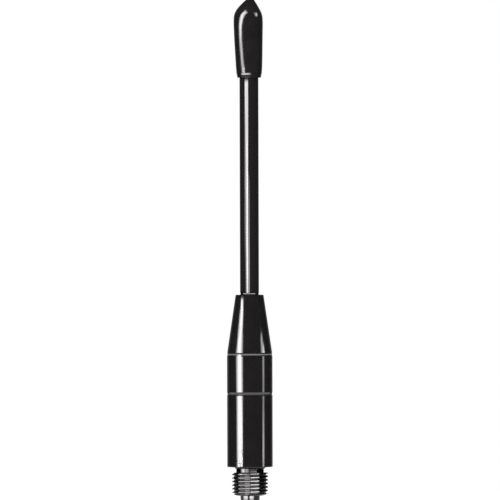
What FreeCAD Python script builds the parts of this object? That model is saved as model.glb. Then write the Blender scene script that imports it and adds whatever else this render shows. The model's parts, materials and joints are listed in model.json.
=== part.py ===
import FreeCAD, Part
import math
import os

# Base-loaded rod antenna for a handheld set, in millimetres.
# The origin is the centre of the face that seats on the set, and +Z runs up the rod.

# Clearances, each on a radius or a height
push_gap = 0.03
slip_gap = 0.05
air_gap = 0.15

# Housings
housing_dia = 10.10
housing_wall = 1.20
lower_height = 16.25
sleeve_height = 8.75
cone_height = 13.25
nose_dia = 6.20
line_depth = 0.12
line_half = 0.40
foot_chamfer = 0.15
nose_chamfer = 0.12
joint_length = 3.50
snap_drop = 1.60
snap_proud = 0.15
snap_half = 0.30
seal_height = 0.45
nose_solid = 6.50
nose_web = 1.50

# Threaded connector, held in the foot of the lower housing
thread_dia = 7.94
thread_length = 4.50
lead_in_depth = 0.40
lead_in_dia = 6.70
runout_depth = 0.15
neck_dia = 6.10
neck_length = 1.45
seat_ring = 0.85
flange_recess = 0.20
flange_thick = 2.00
spigot_step = 0.30
spigot_height = 2.80
neck_seal_drop = 0.36
neck_seal_wall = 0.29

# Bushes that carry the centre contact through the connector
stud_wall = 1.02
spigot_wall = 0.60
bush_recess = 0.15
lower_bush_height = 4.00
web_height = 2.80
web_room = 1.40
bush_rim = 0.40

# Centre contact, and what its stem and the ferrule's tail carry
contact_inset = 0.72
contact_length = 3.30
contact_chamfer = 0.30
stem_share = 0.50
tail_share = 0.625
stem_end = 0.35
tag_thick = 0.25
tag_ring_width = 0.60
tag_width = 1.40
washer_thick = 0.35
washer_width = 0.50
washer_slot = 0.40
nut_room = 0.23
nut_height = 1.40

# Loading coil and its former
former_flange = 1.00
former_skirt = 2.90
skirt_wall = 0.60
hub_wall = 1.00
lead_room = 0.27
wire_dia = 0.70
wire_sides = 8
coil_turns = 5
coil_pitch = 2.10
bend_radius = 0.70

# Rod
rod_dia = 4.20
rod_showing = 47.85
core_dia = 1.60
core_socket = 5.00
rod_seal_height = 0.10
collar_dia = 4.00
collar_height = 0.30
ferrule_dia = 3.60

# Soft cap, from its lip up
cap_lip_dia = 5.36
cap_rim_dia = 5.80
cap_rim_rise = 1.00
cap_belly_dia = 6.52
cap_belly_rise = 10.90
cap_shoulder_dia = 6.42
cap_shoulder_rise = 2.47
cap_shoulder_round = 2.00
cap_tip_dia = 1.80
cap_crown_rise = 3.13
cap_tip_round = 1.20
cap_solid = 5.50

# Radii that follow
housing_r = housing_dia / 2
socket_r = housing_r - housing_wall / 2
cavity_r = housing_r - housing_wall
flange_r = housing_r - seat_ring - slip_gap
spigot_r = cavity_r - spigot_step
upper_bush_r = spigot_r - spigot_wall - slip_gap
neck_r = neck_dia / 2
thread_r = thread_dia / 2
lower_bush_r = thread_r - stud_wall - slip_gap
contact_r = lower_bush_r - contact_inset
former_r = cavity_r - slip_gap
skirt_r = former_r - skirt_wall
lead_reach = skirt_r - lead_room
wire_r = wire_dia / 2
coil_r = lead_reach - wire_r
hub_r = coil_r - wire_r - push_gap
nose_cavity_r = lead_reach + air_gap
nut_r = lead_reach - wire_dia - nut_room
stem_r = nut_r * stem_share
tail_r = nut_r * tail_share
rod_r = rod_dia / 2

# Heights that follow, from the connector's foot to the top of the sheath
connector_foot = -neck_length - thread_length - lead_in_depth
contact_shoulder = connector_foot + bush_recess
lower_bush_top = contact_shoulder + lower_bush_height
upper_bush_foot = lower_bush_top + web_height
flange_top = flange_recess + flange_thick
connector_top = flange_top + spigot_height
pin_tag_foot = connector_top + bush_rim
pin_washer_foot = pin_tag_foot + tag_thick
pin_nut_foot = pin_washer_foot + washer_thick
stem_top = pin_nut_foot + nut_height + stem_end
socket_floor = lower_height - joint_length
winding_foot = connector_top + former_skirt + former_flange
cone_foot = lower_height + sleeve_height
winding_head = cone_foot - former_flange
nose_top = cone_foot + cone_height
nose_ceiling = nose_top - nose_solid
whip_tag_foot = nose_ceiling - tag_thick
whip_washer_foot = whip_tag_foot - washer_thick
whip_nut_foot = whip_washer_foot - nut_height
collar_foot = nose_top + rod_seal_height
sheath_foot = collar_foot + collar_height
core_foot = sheath_foot - core_socket
cap_lip = sheath_foot + rod_showing
cap_rim = cap_lip + cap_rim_rise
cap_belly = cap_rim + cap_belly_rise
cap_shoulder = cap_belly + cap_shoulder_rise
cap_top = cap_shoulder + cap_crown_rise
sheath_top = cap_top - cap_solid

# The winding's slope, and where it starts
coil_rise = coil_turns * coil_pitch
coil_foot = (winding_foot + winding_head - coil_rise) / 2
climb = math.atan2(coil_pitch, 2 * math.pi * coil_r)
bend_rise = bend_radius * math.cos(climb)
lead_aside = bend_radius * (1 - math.sin(climb))


def corner_span(before, corner, after, radius):
    """Where an outline reaches a corner, the middle of the corner's arc, and where it leaves."""
    if not radius:
        return corner, None, corner
    to_before = (before - corner).normalize()
    to_after = (after - corner).normalize()
    half = to_before.getAngle(to_after) / 2
    reach = radius / math.tan(half)
    inward = (to_before + to_after).normalize()
    middle = corner + inward * (radius / math.sin(half) - radius)
    return corner + to_before * reach, middle, corner + to_after * reach


def turned(outline):
    """A solid turned about the Z axis from (radius, height) corners; a third value rounds one."""
    corners = [FreeCAD.Vector(row[0], 0, row[1]) for row in outline]
    spans = []
    for i, row in enumerate(outline):
        after = corners[(i + 1) % len(corners)]
        spans.append(corner_span(corners[i - 1], corners[i], after, sum(row[2:])))
    edges = []
    for i, (start, middle, end) in enumerate(spans):
        edges.append(Part.LineSegment(spans[i - 1][2], start).toShape())
        if middle:
            edges.append(Part.Arc(start, middle, end).toShape())
    face = Part.Face(Part.Wire(edges))
    return face.revolve(FreeCAD.Vector(), FreeCAD.Vector(0, 0, 1), 360)


def cylinder(radius, low, high):
    return Part.makeCylinder(radius, high - low, FreeCAD.Vector(0, 0, low))


def tube(outer, inner, low, high):
    return turned([(inner, low), (outer, low), (outer, high), (inner, high)])


def polygon(centre, across, up, sides):
    """A closed regular outline; across is the vector from its centre to its first corner."""
    corners = []
    for i in range(sides + 1):
        turn = 2 * math.pi * i / sides
        corners.append(centre + across * math.cos(turn) + up * math.sin(turn))
    return Part.makePolygon(corners)


def connector_body():
    """Threaded stud with a flange and spigot held in the housing, bored through for the bushes."""
    stud_bore = lower_bush_r + slip_gap
    spigot_bore = upper_bush_r + slip_gap
    web_bore = stem_r + web_room
    return turned([
        (stud_bore, connector_foot),
        (lead_in_dia / 2, connector_foot),
        (thread_r, connector_foot + lead_in_depth),
        (thread_r, -neck_length),
        (neck_r, runout_depth - neck_length),
        (neck_r, flange_recess),
        (flange_r, flange_recess),
        (flange_r, flange_top),
        (spigot_r, flange_top),
        (spigot_r, connector_top),
        (spigot_bore, connector_top),
        (spigot_bore, upper_bush_foot),
        (web_bore, upper_bush_foot),
        (web_bore, lower_bush_top),
        (stud_bore, lower_bush_top),
    ])


def neck_seal():
    """Rubber ring on the neck, against the underside of the flange."""
    return tube(neck_r + neck_seal_wall, neck_r, -neck_seal_drop, flange_recess)


def lower_insulator():
    return tube(lower_bush_r, stem_r + slip_gap, contact_shoulder, lower_bush_top)


def upper_insulator():
    """Shouldered bush whose rim lies on the connector's top and centres the former's skirt."""
    bore_r = stem_r + slip_gap
    rim_r = skirt_r - slip_gap
    return turned([
        (bore_r, upper_bush_foot),
        (upper_bush_r, upper_bush_foot),
        (upper_bush_r, connector_top),
        (rim_r, connector_top),
        (rim_r, pin_tag_foot),
        (bore_r, pin_tag_foot),
    ])


def contact_pin():
    """Contact stud with a long stem that draws both bushes together."""
    tip = contact_shoulder - contact_length
    return turned([
        (0, tip),
        (contact_r - contact_chamfer, tip),
        (contact_r, tip + contact_chamfer),
        (contact_r, contact_shoulder),
        (stem_r, contact_shoulder),
        (stem_r, stem_top),
        (0, stem_top),
    ])


def solder_tag(bore_r, low):
    """Flat ring terminal with a tab under one lead of the coil."""
    ring = tube(bore_r + tag_ring_width, bore_r, low, low + tag_thick)
    tab = Part.makeBox(lead_reach, tag_width, tag_thick, FreeCAD.Vector(0, -tag_width / 2, low))
    tab = tab.cut(cylinder(bore_r + tag_ring_width / 2, low, low + tag_thick))
    return ring.fuse(tab).removeSplitter()


def spring_washer(bore_r, low):
    """Split ring under a nut."""
    outer_r = bore_r + washer_width
    ring = tube(outer_r, bore_r, low, low + washer_thick)
    corner = FreeCAD.Vector(-outer_r, -washer_slot / 2, low)
    return ring.cut(Part.makeBox(outer_r, washer_slot, washer_thick, corner))


def hex_nut(bore_r, low):
    """Nut with two of its flats square to the X axis, where the lead passes."""
    turn = math.radians(30)
    across = FreeCAD.Vector(math.cos(turn), math.sin(turn), 0) * (nut_r / math.cos(turn))
    up = FreeCAD.Vector(-across.y, across.x, 0)
    outline = polygon(FreeCAD.Vector(0, 0, low), across, up, 6)
    block = Part.Face(outline).extrude(FreeCAD.Vector(0, 0, nut_height))
    return block.cut(cylinder(bore_r, low, low + nut_height))


def lower_housing():
    """Cup that holds the connector at its foot and the upper housing's spigot in its mouth."""
    snap = lower_height - snap_drop
    mouth_r = socket_r + slip_gap
    pocket_r = flange_r + slip_gap
    return turned([
        (pocket_r, 0),
        (housing_r - foot_chamfer, 0),
        (housing_r, foot_chamfer),
        (housing_r, lower_height - line_half),
        (housing_r - line_depth, lower_height),
        (mouth_r, lower_height),
        (mouth_r, snap + snap_half),
        (mouth_r + snap_proud, snap),
        (mouth_r, snap - snap_half),
        (mouth_r, socket_floor),
        (cavity_r, socket_floor),
        (cavity_r, connector_top),
        (spigot_r + push_gap, connector_top),
        (spigot_r + push_gap, flange_top),
        (pocket_r, flange_top),
    ])


def upper_housing():
    """Straight sleeve and tapering nose in one moulding, with a V line moulded between them."""
    snap = lower_height - snap_drop
    spigot_foot = socket_floor + seal_height
    nose_r = nose_dia / 2
    taper = (housing_r - nose_r) / cone_height
    ferrule_hole = ferrule_dia / 2 + slip_gap
    tail_hole = tail_r + slip_gap
    return turned([
        (cavity_r, spigot_foot),
        (socket_r, spigot_foot),
        (socket_r, snap - snap_half),
        (socket_r + snap_proud, snap),
        (socket_r, snap + snap_half),
        (socket_r, lower_height),
        (housing_r - line_depth, lower_height),
        (housing_r, lower_height + line_half),
        (housing_r, cone_foot - line_half),
        (housing_r - line_depth, cone_foot),
        (housing_r - taper * line_half, cone_foot + line_half),
        (nose_r + taper * nose_chamfer, nose_top - nose_chamfer),
        (nose_r - nose_chamfer, nose_top),
        (ferrule_hole, nose_top),
        (ferrule_hole, nose_ceiling + nose_web),
        (tail_hole, nose_ceiling + nose_web),
        (tail_hole, nose_ceiling),
        (nose_cavity_r, nose_ceiling),
        (nose_cavity_r, cone_foot),
        (cavity_r, cone_foot),
    ])


def seam_seal():
    """Rubber ring squeezed between the spigot's end and the floor of its socket."""
    inner = cavity_r + slip_gap
    return tube(socket_r - slip_gap, inner, socket_floor, socket_floor + seal_height)


def coil_former():
    """Bobbin that stands on the connector and is held down by the shoulder in the upper housing."""
    web_foot = connector_top + former_skirt
    bobbin = turned([
        (skirt_r, connector_top),
        (former_r, connector_top),
        (former_r, winding_foot),
        (hub_r, winding_foot),
        (hub_r, winding_head),
        (former_r, winding_head),
        (former_r, cone_foot),
        (hub_r - hub_wall, cone_foot),
        (hub_r - hub_wall, web_foot),
        (skirt_r, web_foot),
    ])
    for side, low in ((-1, web_foot), (1, winding_head)):
        hole = Part.makeCylinder(wire_r + slip_gap, former_flange)
        hole.translate(FreeCAD.Vector(coil_r, side * lead_aside, low))
        bobbin = bobbin.cut(hole)
    return bobbin


def lead(reach):
    """One straight lead and the bend into the winding, which starts level at height 0."""
    foot = FreeCAD.Vector(coil_r, -lead_aside, -bend_rise - reach)
    across = FreeCAD.Vector(wire_r, 0, 0)
    up = FreeCAD.Vector(0, wire_r, 0)
    straight = Part.Face(polygon(foot, across, up, wire_sides)).extrude(FreeCAD.Vector(0, 0, reach))
    bend_start = foot + FreeCAD.Vector(0, 0, reach)
    hub = bend_start + FreeCAD.Vector(0, bend_radius, 0)
    section = Part.Face(polygon(bend_start, across, up, wire_sides))
    bend = section.revolve(hub, FreeCAD.Vector(-1, 0, 0), 90 - math.degrees(climb))
    return straight.fuse(bend)


def loading_coil():
    """Copper winding whose two ends leave as straight leads to the solder tags."""
    start = FreeCAD.Vector(coil_r, 0, 0)
    across = FreeCAD.Vector(wire_r, 0, 0)
    up = FreeCAD.Vector(0, -math.sin(climb), math.cos(climb)) * wire_r
    spine = Part.Wire(Part.makeHelix(coil_pitch, coil_rise, coil_r))
    winding = spine.makePipeShell([polygon(start, across, up, wire_sides)], True, True)
    lower = lead(coil_foot - bend_rise - pin_washer_foot)
    upper = lead(whip_tag_foot - coil_foot - coil_rise - bend_rise)
    upper.rotate(FreeCAD.Vector(), FreeCAD.Vector(1, 0, 0), 180)
    upper.translate(FreeCAD.Vector(0, 0, coil_rise))
    coil = winding.multiFuse([lower, upper])
    coil.translate(FreeCAD.Vector(0, 0, coil_foot))
    return coil


def rod_ferrule():
    """Plated ferrule that grips the core, clamped through the nose by its collar and a nut."""
    step = nose_ceiling + nose_web + air_gap
    foot = whip_nut_foot - stem_end
    core_hole = core_dia / 2 + push_gap
    return turned([
        (0, foot),
        (tail_r, foot),
        (tail_r, step),
        (ferrule_dia / 2, step),
        (ferrule_dia / 2, collar_foot),
        (collar_dia / 2, collar_foot),
        (collar_dia / 2, sheath_foot),
        (core_hole, sheath_foot),
        (core_hole, core_foot),
        (0, core_foot),
    ])


def rod_seal():
    """Thin rubber washer between the ferrule's collar and the nose."""
    return tube(rod_r, ferrule_dia / 2 + slip_gap, nose_top, collar_foot)


def whip_core():
    """Spring-steel core from the ferrule's socket to the rod's end."""
    return cylinder(core_dia / 2, core_foot, sheath_top)


def rod_sheath():
    return tube(rod_r, core_dia / 2 + push_gap, sheath_foot, sheath_top)


def tip_cap():
    """Soft moulded cap with a slight belly and a blunt conical crown, pushed over the sheath."""
    bore_r = rod_r + push_gap
    return turned([
        (bore_r, cap_lip),
        (cap_lip_dia / 2, cap_lip),
        (cap_rim_dia / 2, cap_rim),
        (cap_belly_dia / 2, cap_belly),
        (cap_shoulder_dia / 2, cap_shoulder, cap_shoulder_round),
        (cap_tip_dia / 2, cap_top, cap_tip_round),
        (0, cap_top),
        (0, sheath_top),
        (bore_r, sheath_top),
    ])


pieces = {
    "tip_cap": tip_cap(),
    "rod_sheath": rod_sheath(),
    "whip_core": whip_core(),
    "rod_ferrule": rod_ferrule(),
    "rod_seal": rod_seal(),
    "upper_housing": upper_housing(),
    "lower_housing": lower_housing(),
    "seam_seal": seam_seal(),
    "whip_tag": solder_tag(tail_r + slip_gap, whip_tag_foot),
    "whip_washer": spring_washer(tail_r + slip_gap, whip_washer_foot),
    "whip_nut": hex_nut(tail_r, whip_nut_foot),
    "loading_coil": loading_coil(),
    "coil_former": coil_former(),
    "pin_tag": solder_tag(stem_r + slip_gap, pin_tag_foot),
    "pin_washer": spring_washer(stem_r + slip_gap, pin_washer_foot),
    "pin_nut": hex_nut(stem_r, pin_nut_foot),
    "upper_insulator": upper_insulator(),
    "connector_body": connector_body(),
    "lower_insulator": lower_insulator(),
    "contact_pin": contact_pin(),
    "neck_seal": neck_seal(),
}

os.makedirs("parts", exist_ok=True)
for name, piece in pieces.items():
    piece.exportStep("parts/" + name + ".step")
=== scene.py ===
import json
import math

import bmesh
import bpy
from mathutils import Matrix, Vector


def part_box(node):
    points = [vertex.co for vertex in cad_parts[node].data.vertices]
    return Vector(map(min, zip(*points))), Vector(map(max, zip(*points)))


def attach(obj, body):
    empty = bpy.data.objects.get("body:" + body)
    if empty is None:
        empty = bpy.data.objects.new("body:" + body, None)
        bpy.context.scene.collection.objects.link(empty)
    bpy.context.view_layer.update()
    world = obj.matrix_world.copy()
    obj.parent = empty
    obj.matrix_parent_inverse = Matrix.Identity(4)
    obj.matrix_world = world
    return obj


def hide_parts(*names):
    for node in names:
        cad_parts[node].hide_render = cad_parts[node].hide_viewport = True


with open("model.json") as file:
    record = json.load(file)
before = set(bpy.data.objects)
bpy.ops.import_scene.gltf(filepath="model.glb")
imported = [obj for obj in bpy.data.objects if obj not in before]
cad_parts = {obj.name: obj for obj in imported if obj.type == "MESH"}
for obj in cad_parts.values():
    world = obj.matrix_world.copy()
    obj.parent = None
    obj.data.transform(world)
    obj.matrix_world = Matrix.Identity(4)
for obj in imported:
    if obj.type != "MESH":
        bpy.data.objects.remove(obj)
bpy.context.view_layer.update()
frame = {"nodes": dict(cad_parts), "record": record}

# Lengths are in millimetres until a mesh is made, and MM turns them into metres.
MM = 0.001


def low(node):
    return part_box(node)[0].z / MM


def high(node):
    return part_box(node)[1].z / MM


def reach(node):
    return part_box(node)[1].x / MM


# Sizes that the solids' boxes give
floor_level = low("contact_pin")
base_r = reach("lower_housing")
seam = high("lower_housing")
nose_top = high("upper_housing")
rod_r = reach("rod_sheath")
collar_r = reach("rod_ferrule")
rod_foot = low("rod_sheath")
rod_end = high("rod_sheath")
cap_lip = low("tip_cap")
cap_top = high("tip_cap")
flange_r = reach("connector_body")
stud_foot = low("connector_body")
spigot_top = high("connector_body")
contact_r = reach("contact_pin")
stem_top = high("contact_pin")
bush_r = reach("lower_insulator")
bush_foot = low("lower_insulator")
bush_top = high("lower_insulator")

# Sizes inside those boxes
push_gap = 0.03
slip_gap = 0.05
cone_foot = 25.0
nose_r = 3.10
line_depth = 0.12
line_half = 0.40
cavity_r = 3.85
socket_r = 4.45
spigot_r = 3.55
socket_floor = 12.75
snap_height = 14.65
snap_half = 0.30
snap_proud = 0.15
seal_height = 0.45
nose_cavity_r = 3.08
nose_ceiling = nose_top - 6.50
nose_web = nose_ceiling + 1.50
ferrule_r = 1.80
tail_r = 1.25
core_r = 0.80
core_foot = rod_foot - 5.00
tail_room = 0.15
thread_r = 3.97
thread_root_r = 3.56
thread_pitch = 25.4 / 32
thread_top = -1.30
thread_runout = 0.15
lead_in_r = 3.35
lead_in_top = -5.95
neck_r = 3.05
flange_foot = 0.20
flange_top = 2.20
spigot_bore_r = 2.95
stud_bore_r = 2.95
web_bore_r = 2.40
web_top = 0.60
stem_r = 1.00

# Meshes of turned pieces


def rounded(outline):
    """The closed outline's points, with each corner that has a third value turned into an arc."""
    steps = 6
    points = []
    for i, row in enumerate(outline):
        corner = Vector(row[:2])
        if len(row) < 3:
            points.append(corner)
            continue
        to_before = (Vector(outline[i - 1][:2]) - corner).normalized()
        to_after = (Vector(outline[(i + 1) % len(outline)][:2]) - corner).normalized()
        half = to_before.angle(to_after) / 2
        centre = corner + (to_before + to_after).normalized() * (row[2] / math.sin(half))
        start = corner + to_before * (row[2] / math.tan(half)) - centre
        end = corner + to_after * (row[2] / math.tan(half)) - centre
        for k in range(steps + 1):
            points.append(centre + start.slerp(end, k / steps).normalized() * row[2])
    return held(points)


def held(points):
    """The same closed outline with a point close to both ends of each long run, to keep it flat."""
    inset = 0.02
    result = []
    for i, point in enumerate(points):
        run = points[(i + 1) % len(points)] - point
        result.append(point)
        if run.length > 5 * inset:
            result.append(point + run.normalized() * inset)
            result.append(point + run - run.normalized() * inset)
    return result


def revolved(name, columns, material, shift=None, crease=35):
    """A closed surface from equally long columns of (radius, height), one for each step round Z."""
    bm = bmesh.new()
    grid = []
    for j, column in enumerate(columns):
        turn = 2 * math.pi * j / (len(columns) - 1)
        line = []
        for r, z in column:
            x = r * math.cos(turn) + (shift(z) if shift else 0)
            line.append(bm.verts.new(Vector((x, r * math.sin(turn), z)) * MM))
        grid.append(line)
    rows = len(grid[0])
    for here, there in zip(grid, grid[1:]):
        for i in range(rows):
            k = (i + 1) % rows
            bm.faces.new((here[i], there[i], there[k], here[k]))
    bmesh.ops.remove_doubles(bm, verts=bm.verts, dist=1e-7)
    bmesh.ops.recalc_face_normals(bm, faces=bm.faces)
    mesh = bpy.data.meshes.new(name)
    bm.to_mesh(mesh)
    bm.free()
    mesh.polygons.foreach_set("use_smooth", [True] * len(mesh.polygons))
    mesh.set_sharp_from_angle(angle=math.radians(crease))
    mesh.materials.append(material)
    piece = bpy.data.objects.new(name, mesh)
    bpy.context.collection.objects.link(piece)
    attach(piece, "root")
    return piece


def turned(name, outline, material, segments=160):
    """A lathe-turned piece from one outline."""
    column = [tuple(p) for p in rounded(outline)]
    return revolved(name, [column] * (segments + 1), material)


# Materials


def new_material(name):
    """An empty node material and its main shader."""
    material = bpy.data.materials.new(name)
    material.use_nodes = True
    return material, material.node_tree, material.node_tree.nodes["Principled BSDF"]


def grain(tree, size, stretch=(1, 1, 1)):
    """Noise in the piece's own space, with its size in millimetres along each axis."""
    place = tree.nodes.new("ShaderNodeTexCoord")
    scale = tree.nodes.new("ShaderNodeMapping")
    scale.vector_type = "POINT"
    scale.inputs["Scale"].default_value = [1 / (size * MM * k) for k in stretch]
    noise = tree.nodes.new("ShaderNodeTexNoise")
    noise.inputs["Scale"].default_value = 1
    noise.inputs["Detail"].default_value = 2
    tree.links.new(place.outputs["Object"], scale.inputs["Vector"])
    tree.links.new(scale.outputs["Vector"], noise.inputs["Vector"])
    return noise.outputs["Fac"]


def drive_roughness(tree, shader, source, smooth, rough):
    spread = tree.nodes.new("ShaderNodeMapRange")
    spread.inputs["From Min"].default_value = 0.3
    spread.inputs["From Max"].default_value = 0.7
    spread.inputs["To Min"].default_value = smooth
    spread.inputs["To Max"].default_value = rough
    tree.links.new(source, spread.inputs["Value"])
    tree.links.new(spread.outputs["Result"], shader.inputs["Roughness"])


def drive_colour(tree, shader, source, dark, light):
    ramp = tree.nodes.new("ShaderNodeValToRGB")
    ramp.color_ramp.elements[0].position = 0.3
    ramp.color_ramp.elements[0].color = (*dark, 1)
    ramp.color_ramp.elements[1].position = 0.7
    ramp.color_ramp.elements[1].color = (*light, 1)
    tree.links.new(source, ramp.inputs["Fac"])
    tree.links.new(ramp.outputs["Color"], shader.inputs["Base Color"])


def drive_bump(tree, shader, source, height):
    bump = tree.nodes.new("ShaderNodeBump")
    bump.inputs["Strength"].default_value = 1.0
    bump.inputs["Distance"].default_value = height * MM
    tree.links.new(source, bump.inputs["Height"])
    tree.links.new(bump.outputs["Normal"], shader.inputs["Normal"])


def line_mask(tree, height, half, fade):
    """1 within half of a height above the origin, falling to 0 over the fade, in millimetres."""
    place = tree.nodes.new("ShaderNodeTexCoord")
    split = tree.nodes.new("ShaderNodeSeparateXYZ")
    away = tree.nodes.new("ShaderNodeMath")
    away.operation = "SUBTRACT"
    away.inputs[1].default_value = height * MM
    distance = tree.nodes.new("ShaderNodeMath")
    distance.operation = "ABSOLUTE"
    fall = tree.nodes.new("ShaderNodeMapRange")
    fall.interpolation_type = "SMOOTHSTEP"
    fall.inputs["From Min"].default_value = half * MM
    fall.inputs["From Max"].default_value = (half + fade) * MM
    fall.inputs["To Min"].default_value = 1
    fall.inputs["To Max"].default_value = 0
    tree.links.new(place.outputs["Object"], split.inputs["Vector"])
    tree.links.new(split.outputs["Z"], away.inputs[0])
    tree.links.new(away.outputs["Value"], distance.inputs[0])
    tree.links.new(distance.outputs["Value"], fall.inputs["Value"])
    return fall.outputs["Result"]


def paint_highlight(tree, shader, mask, colour):
    """Mixes a paler colour over the shader's base colour where the mask is 1, painting a highlight there.
    """
    mix = tree.nodes.new("ShaderNodeMix")
    mix.data_type = "RGBA"
    mix.inputs["B"].default_value = (*colour, 1)
    under = shader.inputs["Base Color"].links[0].from_socket
    tree.links.new(mask, mix.inputs["Factor"])
    tree.links.new(under, mix.inputs["A"])
    tree.links.new(mix.outputs["Result"], shader.inputs["Base Color"])


def housing_plastic():
    """Gloss-moulded black plastic, with a painted highlight in its two V lines: a paler base colour in a
    band at each.
    """
    material, tree, shader = new_material("housing_plastic")
    shader.inputs["IOR"].default_value = 1.50
    cloud = grain(tree, 3.0)
    drive_colour(tree, shader, cloud, (0.0078, 0.0070, 0.0073), (0.0100, 0.0092, 0.0096))
    # Painted highlights: paler colour in the kink's and the seam's V lines, standing in for the light
    # their faces catch
    paint_highlight(tree, shader, line_mask(tree, cone_foot + 0.02, 0.09, 0.12), (0.140, 0.136, 0.138))
    paint_highlight(tree, shader, line_mask(tree, seam + 0.04, 0.14, 0.18), (0.045, 0.043, 0.044))
    drive_roughness(tree, shader, grain(tree, 1.2), 0.07, 0.11)
    drive_bump(tree, shader, grain(tree, 0.9), 0.0006)
    return material


def sheath_plastic():
    """Drawn black sheath with faint lines along the rod."""
    material, tree, shader = new_material("sheath_plastic")
    shader.inputs["IOR"].default_value = 1.49
    streak = grain(tree, 0.25, (1, 1, 60))
    drive_colour(tree, shader, streak, (0.0095, 0.0085, 0.0089), (0.0125, 0.0112, 0.0118))
    drive_roughness(tree, shader, streak, 0.05, 0.09)
    drive_bump(tree, shader, streak, 0.0004)
    return material


def cap_vinyl():
    """Soft dipped vinyl, a little rougher than the moulded base."""
    material, tree, shader = new_material("cap_vinyl")
    shader.inputs["IOR"].default_value = 1.53
    drive_colour(tree, shader, grain(tree, 2.5), (0.0095, 0.0084, 0.0088), (0.0125, 0.0112, 0.0116))
    drive_roughness(tree, shader, grain(tree, 1.0), 0.08, 0.12)
    drive_bump(tree, shader, grain(tree, 1.6), 0.0010)
    return material


def seal_rubber():
    """Matt black rubber."""
    material, tree, shader = new_material("seal_rubber")
    shader.inputs["Specular IOR Level"].default_value = 0.25
    drive_colour(tree, shader, grain(tree, 0.3), (0.008, 0.008, 0.008), (0.014, 0.013, 0.013))
    drive_roughness(tree, shader, grain(tree, 0.2), 0.50, 0.70)
    drive_bump(tree, shader, grain(tree, 0.08), 0.004)
    return material


def turned_metal(name, dark, light, smooth, rough):
    """Plated metal with the fine rings that turning leaves."""
    material, tree, shader = new_material(name)
    shader.inputs["Metallic"].default_value = 1.0
    rings = grain(tree, 0.06, (60, 60, 1))
    drive_colour(tree, shader, grain(tree, 0.8), dark, light)
    drive_roughness(tree, shader, rings, smooth, rough)
    drive_bump(tree, shader, rings, 0.0005)
    return material


def copper_wire():
    """Enamelled copper with a clear coat."""
    material, tree, shader = new_material("copper_wire")
    shader.inputs["Metallic"].default_value = 1.0
    shader.inputs["Coat Weight"].default_value = 0.6
    shader.inputs["Coat Roughness"].default_value = 0.12
    drive_colour(tree, shader, grain(tree, 0.5), (0.55, 0.20, 0.08), (0.72, 0.30, 0.13))
    drive_roughness(tree, shader, grain(tree, 0.3), 0.18, 0.30)
    return material


def pale_plastic(name, dark, light, smooth, rough):
    """Waxy insulating plastic that light enters a little."""
    material, tree, shader = new_material(name)
    shader.inputs["IOR"].default_value = 1.38
    shader.inputs["Subsurface Weight"].default_value = 0.15
    shader.inputs["Subsurface Scale"].default_value = 0.4 * MM
    drive_colour(tree, shader, grain(tree, 0.9), dark, light)
    drive_roughness(tree, shader, grain(tree, 0.4), smooth, rough)
    drive_bump(tree, shader, grain(tree, 0.05, (60, 60, 1)), 0.001)
    return material


materials = {
    "housing_plastic": housing_plastic(),
    "sheath_plastic": sheath_plastic(),
    "cap_vinyl": cap_vinyl(),
    "seal_rubber": seal_rubber(),
    "black_nickel": turned_metal("black_nickel", (0.030, 0.029, 0.030), (0.042, 0.040, 0.041), 0.09, 0.15),
    "bright_nickel": turned_metal("bright_nickel", (0.60, 0.58, 0.55), (0.70, 0.68, 0.64), 0.10, 0.18),
    "tinned_brass": turned_metal("tinned_brass", (0.62, 0.60, 0.55), (0.72, 0.70, 0.65), 0.22, 0.34),
    "spring_steel": turned_metal("spring_steel", (0.38, 0.38, 0.39), (0.48, 0.48, 0.49), 0.22, 0.36),
    "copper_wire": copper_wire(),
    "white_insulator": pale_plastic("white_insulator", (0.74, 0.73, 0.70), (0.82, 0.81, 0.78), 0.35, 0.50),
    "former_plastic": pale_plastic("former_plastic", (0.60, 0.56, 0.46), (0.70, 0.66, 0.56), 0.30, 0.42),
}

# Pieces seen from outside


def make_base():
    """The two black housings, meeting at the V line between them."""
    black = materials["housing_plastic"]
    taper = (base_r - nose_r) / (nose_top - cone_foot)
    cup = turned("base_cup", [
        (flange_r + slip_gap, 0),
        (base_r, 0, 0.12),
        (base_r, seam - line_half, 0.25),
        (base_r - line_depth, seam, 0.03),
        (socket_r + slip_gap, seam),
        (socket_r + slip_gap, snap_height + snap_half),
        (socket_r + slip_gap + snap_proud, snap_height),
        (socket_r + slip_gap, snap_height - snap_half),
        (socket_r + slip_gap, socket_floor),
        (cavity_r, socket_floor),
        (cavity_r, spigot_top),
        (spigot_r + push_gap, spigot_top),
        (spigot_r + push_gap, flange_top),
        (flange_r + slip_gap, flange_top),
    ], black)
    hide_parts("lower_housing")
    sleeve = turned("base_sleeve", [
        (cavity_r, socket_floor + seal_height),
        (socket_r, socket_floor + seal_height),
        (socket_r, snap_height - snap_half),
        (socket_r + snap_proud, snap_height),
        (socket_r, snap_height + snap_half),
        (socket_r, seam),
        (base_r - line_depth, seam, 0.03),
        (base_r, seam + line_half, 0.25),
        (base_r, cone_foot - line_half, 0.25),
        (base_r - line_depth, cone_foot, 0.05),
        (base_r - taper * line_half, cone_foot + line_half, 0.25),
        (nose_r, nose_top, 0.10),
        (ferrule_r + slip_gap, nose_top),
        (ferrule_r + slip_gap, nose_web),
        (tail_r + slip_gap, nose_web),
        (tail_r + slip_gap, nose_ceiling),
        (nose_cavity_r, nose_ceiling),
        (nose_cavity_r, cone_foot),
        (cavity_r, cone_foot),
    ], black)
    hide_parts("upper_housing")
    return cup, sleeve


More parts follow.
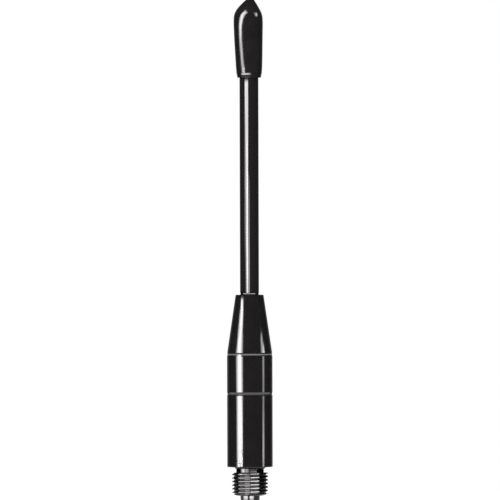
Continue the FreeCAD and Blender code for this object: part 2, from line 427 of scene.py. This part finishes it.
def make_rod():
    """The sheathed rod, its plated collar and the rubber washer under it."""
    sheath = turned("rod_cover", [
        (core_r + push_gap, rod_foot),
        (rod_r, rod_foot, 0.04),
        (rod_r, rod_end),
        (core_r + push_gap, rod_end),
    ], materials["sheath_plastic"], 128)
    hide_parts("rod_sheath")
    collar_foot = high("rod_seal")
    ferrule = turned("rod_collar", [
        (0, low("rod_ferrule")),
        (tail_r, low("rod_ferrule"), 0.15),
        (tail_r, nose_web + tail_room),
        (ferrule_r, nose_web + tail_room, 0.10),
        (ferrule_r, collar_foot),
        (collar_r, collar_foot, 0.07),
        (collar_r, rod_foot, 0.07),
        (core_r + push_gap, rod_foot),
        (core_r + push_gap, core_foot),
        (0, core_foot),
    ], materials["bright_nickel"], 128)
    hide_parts("rod_ferrule")
    washer = turned("rod_washer", [
        (ferrule_r + slip_gap, nose_top),
        (rod_r, nose_top, 0.07),
        (rod_r, collar_foot, 0.07),
        (ferrule_r + slip_gap, collar_foot),
    ], materials["seal_rubber"], 128)
    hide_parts("rod_seal")
    return sheath, ferrule


# The cap's sections from its lip up: rise, radius and how far the section leans towards +X
cap_sections = [
    (0.08, 2.640, 0.04),
    (0.28, 2.666, 0.04),
    (0.48, 2.692, 0.04),
    (0.54, 2.701, 0.04),
    (0.59, 2.715, 0.04),
    (0.90, 2.796, 0.04),
    (0.96, 2.812, 0.04),
    (1.02, 2.820, 0.04),
    (2.40, 2.922, 0.035),
    (3.60, 2.980, 0.015),
    (4.80, 3.025, -0.01),
    (7.20, 3.110, -0.06),
    (9.60, 3.190, -0.10),
    (11.75, 3.25, -0.12),
    (12.70, 3.24, -0.13),
    (13.40, 3.195, -0.14),
    (13.90, 3.12, -0.145),
    (14.40, 2.955, -0.14),
    (14.92, 2.70, -0.13),
    (15.36, 2.425, -0.10),
    (15.81, 2.115, -0.03),
    (16.25, 1.785, 0.05),
    (16.69, 1.42, 0.13),
    (17.14, 1.03, 0.24),
    (17.36, 0.75, 0.28),
    (17.50, 0.00, 0.30),
]

# Below straight_rise the cap's foot leans evenly. The lip's edge is sharp, and the tip is round.
straight_rise = 1.1
straight_lean = 0.04
lip_r = 2.59
tip_rows = ((17.36, 0.75), (17.44, 0.55), (17.485, 0.30))


def eased(rows, t, column):
    """A smooth value between rows of a table, read at height t."""
    i = 0
    while i < len(rows) - 2 and rows[i + 1][0] < t:
        i += 1
    before, a, b, after = (rows[max(i - 1, 0)], rows[i], rows[i + 1], rows[min(i + 2, len(rows) - 1)])
    span = b[0] - a[0]
    k = (t - a[0]) / span
    slope_a = (b[column] - before[column]) / (b[0] - before[0]) * span
    slope_b = (after[column] - a[column]) / (after[0] - a[0]) * span
    return (
        (2 * k ** 3 - 3 * k ** 2 + 1) * a[column]
        + (k ** 3 - 2 * k ** 2 + k) * slope_a
        + (3 * k ** 2 - 2 * k ** 3) * b[column]
        + (k ** 3 - k ** 2) * slope_b
    )


def make_cap():
    """Soft cap that leans a little, with a belly and a crown that is steeper on one side."""
    bore_r = rod_r + push_gap
    column = [(bore_r, cap_lip), (lip_r, cap_lip)]
    for lower, upper in zip(cap_sections, cap_sections[1:-1]):
        for k in range(6):
            rise = lower[0] + (upper[0] - lower[0]) * k / 6
            column.append((eased(cap_sections, rise, 1), cap_lip + rise))
    column += [(r, cap_lip + rise) for rise, r in tip_rows]
    column += [(0, cap_top), (0, rod_end), (bore_r, rod_end)]

    def lean(z):
        rise = min(z - cap_lip, cap_sections[-1][0])
        return eased(cap_sections, rise, 2) if rise > straight_rise else straight_lean

    segments = 128
    cap = revolved("soft_cap", [column] * (segments + 1), materials["cap_vinyl"], lean)
    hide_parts("tip_cap")
    return cap


def thread_profile(phase):
    """The thread's radius at a place in its pitch, from 0 to 1, with the crest at 0.5."""
    crest_half = 0.17
    root = min(abs((phase + 0.5) % 1 - 0.5) / (0.5 - crest_half), 1)
    return thread_root_r + (thread_r - thread_root_r) * (1 - math.sqrt(1 - root ** 2))


def make_connector():
    """The stud with its real helical thread, and its neck, flange and spigot."""
    segments = 160
    per_pitch = 20
    start = 0.13
    turns = math.ceil((thread_top - stud_foot) / thread_pitch) + 2
    columns = []
    for j in range(segments + 1):
        along = j / segments
        column = [(stud_bore_r, stud_foot), (lead_in_r, stud_foot)]
        for i in range(turns * per_pitch + 1):
            z = stud_foot + (i / per_pitch + along - 1 - start) * thread_pitch
            z = min(max(z, stud_foot), thread_top)
            phase = ((z - stud_foot) / thread_pitch - along + start) % 1
            edge = lead_in_r + (z - stud_foot) * (thread_r - lead_in_r) / (lead_in_top - stud_foot)
            column.append((min(edge, thread_profile(phase)), z))
        column += [
            (neck_r + 0.05, thread_top + 0.05),
            (neck_r, thread_top + thread_runout),
            (neck_r, flange_foot),
            (flange_r, flange_foot),
            (flange_r, flange_top),
            (spigot_r, flange_top),
            (spigot_r, spigot_top),
            (spigot_bore_r, spigot_top),
            (spigot_bore_r, web_top),
            (web_bore_r, web_top),
            (web_bore_r, bush_top),
            (stud_bore_r, bush_top),
        ]
        columns.append(column)
    stud = revolved("threaded_stud", columns, materials["black_nickel"], None, 25)
    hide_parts("connector_body")
    bush = turned("stud_bush", [
        (stem_r + slip_gap, bush_foot),
        (bush_r, bush_foot, 0.12),
        (bush_r, bush_top),
        (stem_r + slip_gap, bush_top),
    ], materials["white_insulator"], 128)
    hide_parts("lower_insulator")
    tip = turned("contact_stub", [
        (0, floor_level),
        (contact_r, floor_level, 0.45),
        (contact_r, bush_foot, 0.06),
        (stem_r, bush_foot),
        (stem_r, stem_top, 0.15),
        (0, stem_top),
    ], materials["black_nickel"], 128)
    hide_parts("contact_pin")
    ring = turned("neck_ring", [
        (neck_r, low("neck_seal")),
        (reach("neck_seal"), low("neck_seal"), 0.10),
        (reach("neck_seal"), high("neck_seal")),
        (neck_r, high("neck_seal")),
    ], materials["seal_rubber"], 128)
    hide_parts("neck_seal")
    return stud, tip


def dress_inside():
    """Each solid that stays gets its own slot's finish."""
    for part in frame["record"]["subparts"]:
        node = frame["nodes"][part["node"]]
        node.data.materials.clear()
        node.data.materials.append(materials[part["material_slot"]])


dress_inside()
cup, sleeve = make_base()
sheath, ferrule = make_rod()
cap = make_cap()
stud, tip = make_connector()

# Studio

# The floor's radius, and where its darkening in reflections starts
floor_r = 120
fade_start = 50


def floor_material():
    """Pale floor that shows shadows and reads as white, and grows dark towards its rim in gloss."""
    material, tree, shader = new_material("studio_floor")
    shader.inputs["Roughness"].default_value = 0.9
    shader.inputs["Specular IOR Level"].default_value = 0.1
    drive_colour(tree, shader, grain(tree, 40.0), (0.80, 0.80, 0.80), (0.84, 0.84, 0.84))
    glow = tree.nodes.new("ShaderNodeEmission")
    glow.inputs["Strength"].default_value = 0.40
    seen = seen_directly(tree)
    add = tree.nodes.new("ShaderNodeAddShader")
    pick = tree.nodes.new("ShaderNodeMixShader")
    tree.links.new(shader.outputs["BSDF"], add.inputs[0])
    tree.links.new(glow.outputs["Emission"], add.inputs[1])
    tree.links.new(seen, pick.inputs["Fac"])
    tree.links.new(shader.outputs["BSDF"], pick.inputs[1])
    tree.links.new(add.outputs["Shader"], pick.inputs[2])
    dark = tree.nodes.new("ShaderNodeBsdfDiffuse")
    dark.inputs["Color"].default_value = (0.012, 0.012, 0.012, 1)
    fade = tree.nodes.new("ShaderNodeMixShader")
    tree.links.new(rim_in_gloss(tree), fade.inputs["Fac"])
    tree.links.new(pick.outputs["Shader"], fade.inputs[1])
    tree.links.new(dark.outputs["BSDF"], fade.inputs[2])
    tree.links.new(fade.outputs["Shader"], tree.nodes["Material Output"].inputs["Surface"])
    return material


def rim_in_gloss(tree):
    """For glossy rays, 0 in the floor's middle and rising to 1 at its rim. 0 for all other rays."""
    place = tree.nodes.new("ShaderNodeTexCoord")
    away = tree.nodes.new("ShaderNodeVectorMath")
    away.operation = "LENGTH"
    rise = tree.nodes.new("ShaderNodeMapRange")
    rise.interpolation_type = "SMOOTHSTEP"
    rise.inputs["From Min"].default_value = fade_start * MM
    rise.inputs["From Max"].default_value = floor_r * MM
    path = tree.nodes.new("ShaderNodeLightPath")
    gloss = tree.nodes.new("ShaderNodeMath")
    gloss.operation = "MULTIPLY"
    tree.links.new(place.outputs["Object"], away.inputs[0])
    tree.links.new(away.outputs["Value"], rise.inputs["Value"])
    tree.links.new(rise.outputs["Result"], gloss.inputs[0])
    tree.links.new(path.outputs["Is Glossy Ray"], gloss.inputs[1])
    return gloss.outputs["Value"]


def seen_directly(tree):
    """1 for camera, glossy and transmission rays, 0 for the rays that light things."""
    path = tree.nodes.new("ShaderNodeLightPath")
    first = tree.nodes.new("ShaderNodeMath")
    first.operation = "MAXIMUM"
    both = tree.nodes.new("ShaderNodeMath")
    both.operation = "MAXIMUM"
    tree.links.new(path.outputs["Is Camera Ray"], first.inputs[0])
    tree.links.new(path.outputs["Is Glossy Ray"], first.inputs[1])
    tree.links.new(first.outputs["Value"], both.inputs[0])
    tree.links.new(path.outputs["Is Transmission Ray"], both.inputs[1])
    return both.outputs["Value"]


def grid_object(name, grid, material):
    """A camera-invisible sheet through a grid of (point, glow)."""
    bm = bmesh.new()
    glow = bm.verts.layers.float.new("glow")
    lines = []
    for row in grid:
        line = []
        for point, level in row:
            vert = bm.verts.new(point * MM)
            vert[glow] = level
            line.append(vert)
        lines.append(line)
    for here, there in zip(lines, lines[1:]):
        for k in range(len(here) - 1):
            bm.faces.new((here[k], here[k + 1], there[k + 1], there[k]))
    mesh = bpy.data.meshes.new(name)
    bm.to_mesh(mesh)
    bm.free()
    mesh.materials.append(material)
    sheet = bpy.data.objects.new(name, mesh)
    bpy.context.collection.objects.link(sheet)
    sheet.visible_camera = False
    return sheet


def around(radius, azimuth, z):
    """A point at an azimuth from the front, positive to the right."""
    a = math.radians(azimuth)
    return Vector((radius * math.sin(a), -radius * math.cos(a), z))


def card_row(radius, heights, level, azimuths):
    """Points of a card's row, whose glow rises over its first span and falls over its last."""
    z_start, z_end = heights if isinstance(heights, tuple) else (heights, heights)
    first, last = azimuths[0], azimuths[3]
    glows = (0, level, level, 0)
    steps = 5
    row = []
    for span in range(3):
        for k in range(steps + (span == 2)):
            share = k / steps
            azimuth = azimuths[span] + (azimuths[span + 1] - azimuths[span]) * share
            z = z_start + (z_end - z_start) * (azimuth - first) / (last - first)
            row.append((around(radius, azimuth, z), glows[span] + (glows[span + 1] - glows[span]) * share))
    return row


def softbox(name, lit, radiance, rows):
    """A glowing, see-through card that shows only in the gloss of the pieces it is given.

    Each row is (radius, height, level, four azimuths), where the height may be a pair, for the
    row's start and its end.
    """
    material = bpy.data.materials.new(name)
    material.use_nodes = True
    tree = material.node_tree
    tree.nodes.remove(tree.nodes["Principled BSDF"])
    level = tree.nodes.new("ShaderNodeAttribute")
    level.attribute_name = "glow"
    scale = tree.nodes.new("ShaderNodeMath")
    scale.operation = "MULTIPLY"
    scale.inputs[1].default_value = radiance
    glow = tree.nodes.new("ShaderNodeEmission")
    clear = tree.nodes.new("ShaderNodeBsdfTransparent")
    both = tree.nodes.new("ShaderNodeAddShader")
    tree.links.new(level.outputs["Fac"], scale.inputs[0])
    tree.links.new(scale.outputs["Value"], glow.inputs["Strength"])
    tree.links.new(glow.outputs["Emission"], both.inputs[0])
    tree.links.new(clear.outputs["BSDF"], both.inputs[1])
    tree.links.new(both.outputs["Shader"], tree.nodes["Material Output"].inputs["Surface"])
    card = grid_object(name, [card_row(*row) for row in rows], material)
    receivers = bpy.data.collections.new(name)
    for piece in lit:
        receivers.objects.link(piece)
    card.light_linking.receiver_collection = receivers
    card.visible_diffuse = False


def make_floor():
    """A round pale floor under the contact's tip."""
    steps = 96
    turn = 2 * math.pi / steps
    rim = [(floor_r * math.cos(turn * k), floor_r * math.sin(turn * k), floor_level) for k in range(steps)]
    mesh = bpy.data.meshes.new("floor")
    mesh.from_pydata([Vector(p) * MM for p in rim], [], [range(steps)])
    mesh.materials.append(floor_material())
    floor = bpy.data.objects.new("floor", mesh)
    bpy.context.collection.objects.link(floor)


def make_flags():
    """Dark cards all round and overhead that only gloss sees, so that black stays black."""
    material, tree, shader = new_material("dark_card")
    shader.inputs["Roughness"].default_value = 1.0
    shader.inputs["Specular IOR Level"].default_value = 0.0
    drive_colour(tree, shader, grain(tree, 30.0), (0.010, 0.010, 0.010), (0.014, 0.014, 0.014))
    azimuths = range(-180, 181, 10)
    wall = [[(around(260, a, z), 0) for a in azimuths] for z in (-120, 340)]
    lid = [[(around(radius, a, 340), 0) for a in azimuths] for radius in (260, 1)]
    for card in (grid_object("dark_wall", wall, material), grid_object("dark_lid", lid, material)):
        card.visible_diffuse = False
        card.visible_shadow = False
        card.visible_transmission = False
        card.visible_volume_scatter = False


def soft_lamp(name, place, size, power):
    """A square lamp that faces the middle of the antenna and doesn't show in gloss."""
    data = bpy.data.lights.new(name, "AREA")
    data.size = size * MM
    data.energy = power
    lamp = bpy.data.objects.new(name, data)
    lamp.location = Vector(place) * MM
    aim = Vector((0, 0, 40)) * MM
    lamp.rotation_euler = (aim - lamp.location).to_track_quat("-Z", "Y").to_euler()
    lamp.visible_glossy = False
    bpy.context.collection.objects.link(lamp)


def make_lamps():
    """A soft key behind and above, and a soft fill in front."""
    soft_lamp("key", (-150, 450, 950), 600, 7.5)
    soft_lamp("fill", (-120, -1000, 500), 1000, 17.5)


def light_base():
    """The base's wide stripe and thin line, and their ends on the taper and in the V lines."""
    softbox("strip_base_left", [cup, sleeve], 27, [
        (240, -9, 0.95, (-72, -58, -41, -34.5)),
        (240, 2, 0.94, (-72, -59, -40, -35.5)),
        (240, 6, 0.96, (-72.5, -58, -42, -34.5)),
        (240, 9, 0.98, (-72.5, -57, -46, -33.5)),
        (240, 14, 1, (-75, -55.5, -48, -33)),
        (240, 30, 1, (-75, -55.5, -48, -33)),
        (240, 60, 1, (-75, -55.5, -48, -33)),
    ])
    softbox("strip_cone_left", [sleeve], 27, [
        (60, (35.8, 39.0), 0.98, (-77, -58, -48, -33)),
        (60, (37.7, 40.8), 0.98, (-77, -57, -49, -33)),
        (60, (39.1, 41.8), 1, (-73, -58, -52, -34)),
        (60, (40.6, 43.2), 0.94, (-72.5, -63, -50.5, -35)),
        (60, (41.7, 44.6), 0.94, (-75.5, -57, -52, -37)),
        (60, (42.9, 45.8), 0.82, (-77, -57, -47, -40.5)),
        (60, (44.8, 47.3), 0.88, (-73, -62, -48, -40.5)),
        (50, (43.7, 46.0), 0.95, (-75, -56, -49, -41.5)),
        (40, (42.4, 44.2), 0.95, (-74, -55, -50, -41.5)),
        (30, (41.5, 42.4), 1.00, (-67.5, -57.5, -52, -41.5)),
        (20, (40.1, 40.6), 1.00, (-66, -59, -52.5, -42.5)),
        (20, (41.0, 41.5), 0.90, (-68, -62, -54, -44.5)),
        (20, (41.4, 41.8), 0.60, (-67, -64.5, -55, -45.5)),
        (20, (41.7, 42.1), 0, (-67, -64.5, -57, -46)),
    ])
    softbox("strip_base_right", [cup, sleeve], 11, [
        (240, -9, 0.75, (65.5, 68, 75, 78.5)),
        (240, -2, 0.88, (66.4, 67.3, 75, 78.7)),
        (240, 2, 0.75, (67, 67.5, 74.6, 78.9)),
        (240, 5.7, 0.50, (65.5, 69.3, 77, 78)),
        (240, 8.3, 0.36, (64.7, 71.2, 76.6, 78.9)),
        (240, 13.4, 0.47, (63.8, 73, 76.8, 78.9)),
        (240, 18.8, 0.62, (65, 72, 76.5, 79)),
        (240, 60, 0.62, (65, 72, 76.5, 79)),
    ])
    softbox("strip_cone_right", [sleeve], 27, [
        (40, (33.6, 32.0), 0.70, (54.7, 74, 78.5, 79.5)),
        (40, (34.6, 33.4), 0.66, (55, 76, 78.5, 79.5)),
        (40, (35.1, 33.8), 0.50, (56.1, 77, 79.5, 80)),
        (40, (35.7, 34.2), 0.24, (59, 61, 78.1, 83.9)),
        (40, (36.3, 35.1), 0.32, (59.9, 63.3, 64.5, 81.6)),
        (40, (37.0, 36.2), 0.37, (60.8, 67.1, 72.6, 74.4)),
        (40, (37.5, 36.8), 0.30, (62, 66, 74, 76.2)),
        (40, (38.2, 37.4), 0.13, (63.9, 72, 76, 78.3)),
        (40, (38.7, 37.9), 0, (66, 70, 78, 79)),
    ])
    # The V lines' upper faces see these two from below
    for name, piece, radiance in (("strip_kink", sleeve, 4.5), ("strip_seam", cup, 3.5)):
        softbox(name, [piece], radiance, [
            (240, 125, 1, (-74, -58, -48, -31)),
            (240, 185, 1, (-74, -58, -48, -31)),
        ])


def light_rod():
    """The rod's stripe with a brighter core line, and a glow in the collar."""
    softbox("strip_rod", [sheath], 24, [
        (25, 36.0, 0.37, (-46.5, -36, -4, 6)),
        (25, 39.1, 0.37, (-46.5, -36, -4, 6.5)),
        (25, 42.5, 0.38, (-51, -30, -4, 6.5)),
        (25, 45.8, 0.39, (-57, -22, -4, 7)),
        (25, 50.3, 0.32, (-61, -35, -3, 5.5)),
        (25, 54.9, 0.27, (-57, -52, -6, 8)),
        (25, 59.4, 0.30, (-55, -53, -14, 10.5)),
        (25, 63.9, 0.46, (-54.5, -52, -50, 10)),
        (25, 67.2, 0.46, (-57, -45, -15, -8)),
        (25, 70.6, 0.55, (-56.5, -44, -15, -8.5)),
        (25, 75.1, 0.80, (-56.5, -36, -12.5, -10.5)),
        (25, 78.5, 0.76, (-55.3, -42, -12, -10)),
        (25, 81.9, 0.79, (-51.7, -50, -13.5, -8.5)),
        (20, 84.0, 0.82, (-51.7, -48.5, -15, -8)),
        (20, 85.8, 0.88, (-51.7, -48.5, -15, -8)),
        (20, 86.1, 0.64, (-51.7, -48.5, -15, -8)),
        (20, 86.35, 0.28, (-51.7, -48.5, -15, -8)),
        (20, 86.6, 0.02, (-51.7, -48.5, -15, -8)),
        (20, 86.7, 0, (-51.7, -48.5, -15, -8)),
    ])
    softbox("strip_rod_core", [sheath], 24, [
        (25, 36.0, 0.70, (-32.5, -28.5, -23.3, -19)),
        (25, 40.2, 0.71, (-33, -29, -23, -19)),
        (25, 42.5, 0.78, (-34, -32, -20, -18)),
        (25, 45.8, 0.99, (-33.3, -32.3, -22, -21)),
        (25, 50.3, 1.15, (-34, -31, -23, -19.5)),
        (25, 54.9, 1.15, (-33.5, -31.4, -21.5, -19.5)),
        (25, 59.4, 1.05, (-33.9, -29.6, -21.2, -17.5)),
        (25, 63.9, 0.90, (-32.3, -31.5, -14.8, -14.3)),
        (25, 67.2, 0.89, (-32, -27.7, -22, -17.8)),
        (25, 70.6, 0.96, (-31, -26.8, -22, -18)),
        (25, 75.1, 0, (-31, -26.8, -22, -18)),
    ])
    softbox("glow_collar", [ferrule], 0.7, [
        (240, -9, 1, (-92, -85, 75, 82)),
        (240, 60, 1, (-92, -85, 75, 82)),
    ])


def light_cap():
    """The cap's long stripe, the bar over its lip and the spot on its crown."""
    softbox("strip_cap", [cap], 22, [
        (240, 52, 0, (-76, -52, -46, -33)),
        (240, 55, 0.95, (-76, -52, -46, -33)),
        (240, (63, 60), 0.78, (-72, -53, -47.5, -35)),
        (240, (71, 66.7), 0.42, (-79, -54, -44, -38)),
        (240, (75.7, 74.1), 0.46, (-75, -67, -56, -44)),
        (240, (78.7, 77.8), 0.66, (-73, -66.5, -57.5, -47.5)),
        (240, (80, 79.1), 0.62, (-74.5, -64, -54, -50)),
        (240, (81, 80), 0.46, (-78, -65, -54, -48.5)),
        (240, (83.1, 81.1), 0.32, (-87, -75, -53, -49.5)),
        (240, (84, 82.4), 0.44, (-83, -77, -66, -49)),
        (240, (84.8, 83.5), 0.60, (-82, -77, -69, -54)),
        (240, (87.1, 85.4), 0.66, (-84, -71, -62, -57)),
        (240, (89.6, 87.9), 0.80, (-85, -67.5, -63, -55)),
        (240, (91.5, 89.2), 0.95, (-84.5, -67.5, -64, -52)),
        (240, (94.2, 92.6), 1.00, (-84, -66, -60, -52)),
        (240, (98, 97.1), 0.97, (-82, -66.5, -61, -46)),
        (240, (111.7, 113.5), 0.80, (-79, -66, -50, -43)),
        (240, (128, 133.5), 1.05, (-77, -53, -49, -37)),
        (240, (149, 157), 1.00, (-68, -56, -51, -24)),
        (240, (216, 236), 0.84, (-68, -57, -40, -18)),
        (240, (310, 339), 0.77, (-60, -50, -27, 1)),
        (200, (338, 339), 0.50, (-56, -44, -26, -4)),
        (160, (338, 339), 0.22, (-53, -40, -28, -14)),
        (130, (338, 339), 0, (-53, -40, -28, -14)),
    ])
    softbox("strip_cap_rim", [cap], 14, [
        (240, -2, 1, (-88, -60, -3, 23)),
        (240, -9.2, 1, (-88, -60, -3, 23)),
        (180, -9.2, 1, (-88, -60, -3, 22)),
    ])
    softbox("strip_cap_right", [cap], 11, [
        (240, (155, 145), 0, (60, 66, 74, 88)),
        (240, (178.7, 169.8), 0.95, (54.5, 70, 81, 83)),
        (240, (221.6, 201), 0.91, (54.5, 74.5, 83.5, 87)),
        (240, (269, 228.7), 0.80, (50, 80, 88, 90)),
        (240, (311, 251), 0.24, (52, 78, 92, 94)),
        (240, (335, 270), 0, (52, 78, 92, 94)),
    ])


def light_rims():
    """A dim card behind, for a thin grey rim on both silhouettes."""
    softbox("rim_back", [cup, sleeve, sheath, cap], 0.18, [
        (240, -9, 1, (128, 142, 218, 232)),
        (240, 200, 1, (128, 142, 218, 232)),
    ])


def light_stud():
    """Three groups of rungs on the thread, and a patch on the neck."""
    softbox("strip_stud_left", [stud], 12.5, [
        (60, -9.4, 1, (-79, -75, -44, -37.5)),
        (60, -4.8, 1, (-79, -75, -44, -37.5)),
        (20, -1.9, 1, (-74.5, -70.5, -41, -35)),
    ])
    softbox("strip_neck_left", [stud], 21, [
        (25, -2.2, 1, (-80, -60, -50, -39)),
        (25, 1.0, 1, (-80, -60, -50, -39)),
    ])
    softbox("strip_stud_mid", [stud], 14, [
        (8, -9.4, 1, (-42, -33, -4, 2)),
        (25, -9.4, 1, (-42, -33, -4, 2)),
        (25, -2.6, 1, (-42, -33, -4, 2)),
        (25, -2.3, 0.7, (-39, -34, -26, -6)),
        (25, 1.2, 0.7, (-39, -34, -26, -6)),
        (25, 1.6, 1, (-42, -33, -4, 2)),
        (25, 22, 1, (-42, -33, -4, 2)),
    ])
    softbox("strip_stud_right", [stud], 23, [
        (60, -9.4, 1, (0, 6.5, 57, 61)),
        (60, -4.8, 1, (0, 6.5, 57, 61)),
        (20, -1.9, 1, (0, 6, 53.5, 57)),
    ])


def light_tip():
    """Two patches on the contact's stub, dimmer towards its foot."""
    sides = (("strip_tip_left", (-90, -62, -30, -22)), ("strip_tip_right", (-8, 0, 34, 48)))
    for name, azimuths in sides:
        levels = ((-8.6, 0.1), (-7.9, 0.3), (-7.6, 1), (-6.0, 1))
        softbox(name, [tip], 30, [(25, z, level, azimuths) for z, level in levels])


def make_world():
    """Plain white, stronger where it is seen than where it lights things."""
    world = bpy.data.worlds.new("studio")
    bpy.context.scene.world = world
    world.use_nodes = True
    tree = world.node_tree
    sky = tree.nodes["Background"]
    strength = tree.nodes.new("ShaderNodeMapRange")
    strength.inputs["To Min"].default_value = 0.45
    strength.inputs["To Max"].default_value = 1.0
    tree.links.new(seen_directly(tree), strength.inputs["Value"])
    tree.links.new(strength.outputs["Result"], sky.inputs["Strength"])
    sky.inputs["Color"].default_value = (1, 1, 1, 1)


def make_camera():
    """Level long-lens camera at the photograph's angle."""
    frame_height = 111.1
    distance = 1500.0
    eye = Vector((0.13, -distance, 48.2))
    roll = 0.16
    data = bpy.data.cameras.new("camera")
    data.sensor_width = 36.0
    data.lens = 36.0 * distance / frame_height
    data.clip_start = 0.01
    camera = bpy.data.objects.new("camera", data)
    camera.location = eye * MM
    camera.rotation_euler = (math.radians(90), math.radians(roll), 0)
    bpy.context.collection.objects.link(camera)
    bpy.context.scene.camera = camera


make_floor()
make_flags()
make_lamps()
light_base()
light_rod()
light_cap()
light_rims()
light_stud()
light_tip()
make_world()
make_camera()

view = bpy.context.scene.view_settings
view.view_transform = "Standard"
